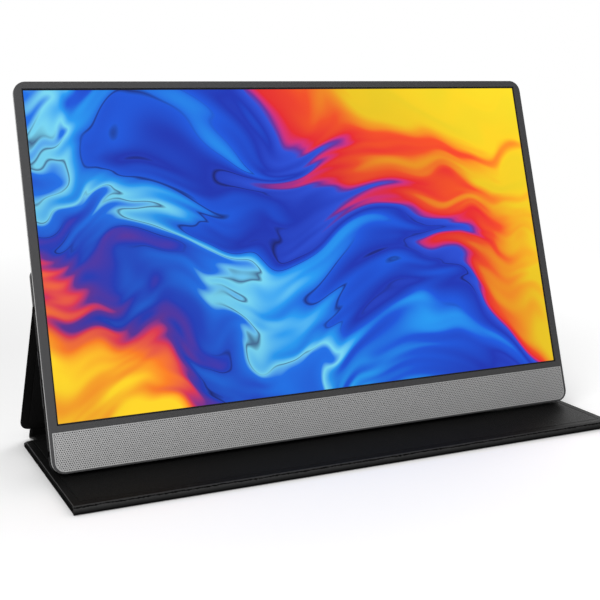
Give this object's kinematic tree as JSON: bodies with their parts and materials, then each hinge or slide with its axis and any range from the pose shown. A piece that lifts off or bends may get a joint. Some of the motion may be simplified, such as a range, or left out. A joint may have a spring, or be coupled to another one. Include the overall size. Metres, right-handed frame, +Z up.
{
  "type": "portable monitor",
  "caption": "Slim portable monitor leaning on its black folding cover, which makes a leg and a base and folds flat behind the screen.",
  "frame": {"origin": "on the table, below the middle of the object's box", "axes": "+Z up, the screen faces -Y, +X to the viewer's right along the screen's width"},
  "size_m": [0.3563, 0.14, 0.2233],
  "materials": {
    "bezel_grey": "satin moulded plastic",
    "grille_grey": "finely perforated trim",
    "frame_silver": "bead-blasted metal",
    "shell_black": "fine moulded texture",
    "screen": "anti-glare polariser over a lit picture",
    "cell_glass": "glass",
    "optics_white": "white film",
    "optics_clear": "clear acrylic",
    "sheet_steel": "rolled sheet",
    "tape_black": "adhesive tape",
    "board_green": "circuit board",
    "chip_black": "moulded",
    "pad_grey": "soft pad",
    "socket_cream": "moulded",
    "ribbon_amber": "flat cable",
    "wire_black": "insulated lead",
    "port_steel": "drawn shell",
    "key_black": "satin moulded plastic",
    "magnet_nickel": "nickel-plated",
    "board_fibre": "pressed fibre board",
    "leather_black": "grained coated leather",
    "lining_black": "smooth coated lining"
  },
  "bodies": {
    "base": {"base_skin": "leather_black", "base_board": "board_fibre", "base_lining": "lining_black", "spine_band": "leather_black", "front_fold": "leather_black"},
    "leg": {"leg_skin": "leather_black", "leg_board": "board_fibre", "leg_lining": "lining_black"},
    "monitor": {"front_bezel": "bezel_grey", "chin_grille": "grille_grey", "edge_frame": "frame_silver", "rear_cover": "shell_black", "screen_film": "screen", "lcd_cell": "cell_glass", "optical_films": "optics_white", "light_guide": "optics_clear", "reflector_sheet": "optics_white", "led_bar": "optics_white", "panel_mould_frame": "optics_white", "panel_tray": "sheet_steel", "panel_tapes": "tape_black", "magnet_plate": "sheet_steel", "source_board": "board_green", "main_board": "board_green", "button_board": "board_green", "board_screws": "sheet_steel", "main_chip": "chip_black", "thermal_pad": "pad_grey", "board_sockets": "socket_cream", "panel_cable": "ribbon_amber", "button_cable": "ribbon_amber", "speaker_wires": "wire_black", "usb_c_port_lower": "port_steel", "usb_c_port_upper": "port_steel", "mini_hdmi_port": "port_steel", "audio_jack": "chip_black", "side_switches": "chip_black", "speaker_left": "chip_black", "speaker_right": "chip_black", "top_fold": "leather_black", "strip_skin": "leather_black", "strip_core": "board_fibre", "strip_lining": "lining_black", "strip_magnets": "magnet_nickel"},
    "flap": {"flap_skin": "leather_black", "flap_board": "board_fibre", "flap_lining": "lining_black", "flap_magnets": "magnet_nickel"},
    "power_key": {"power_button": "key_black"},
    "menu_key": {"menu_rocker": "key_black"}
  },
  "joints": [
    {"name": "leg_hinge", "type": "hinge", "parent": "base", "child": "leg", "pos_m": [0, 0.0695, 0.0005], "axis": [1, 0, 0], "range_deg": [-121.2, 0], "deforming": ["spine_band"]},
    {"name": "monitor_fold", "type": "hinge", "parent": "leg", "child": "monitor", "pos_m": [0, 0.01225, 0.09255], "axis": [1, 0, 0], "range_deg": [0, 48.9], "deforming": ["top_fold"]},
    {"name": "flap_fold", "type": "hinge", "parent": "base", "child": "flap", "pos_m": [0, -0.0677, 0.0023], "axis": [-1, 0, 0], "range_deg": [0, 180], "deforming": ["front_fold"]},
    {"name": "power_press", "type": "slide", "parent": "monitor", "child": "power_key", "axis": [1, 0, 0], "range_m": [0, 0.0005], "stiffness_N_per_m": 800},
    {"name": "menu_rock", "type": "hinge", "parent": "monitor", "child": "menu_key", "pos_m": [-0.1746, -0.01091, 0.0509], "axis": [0, 0.9534, -0.3019], "range_deg": [-4, 4], "stiffness_Nm_per_rad": 0.03}
  ],
  "couplings": [
    {"joint": "monitor_fold", "follows": "leg_hinge", "ratio": -0.40287}
  ]
}
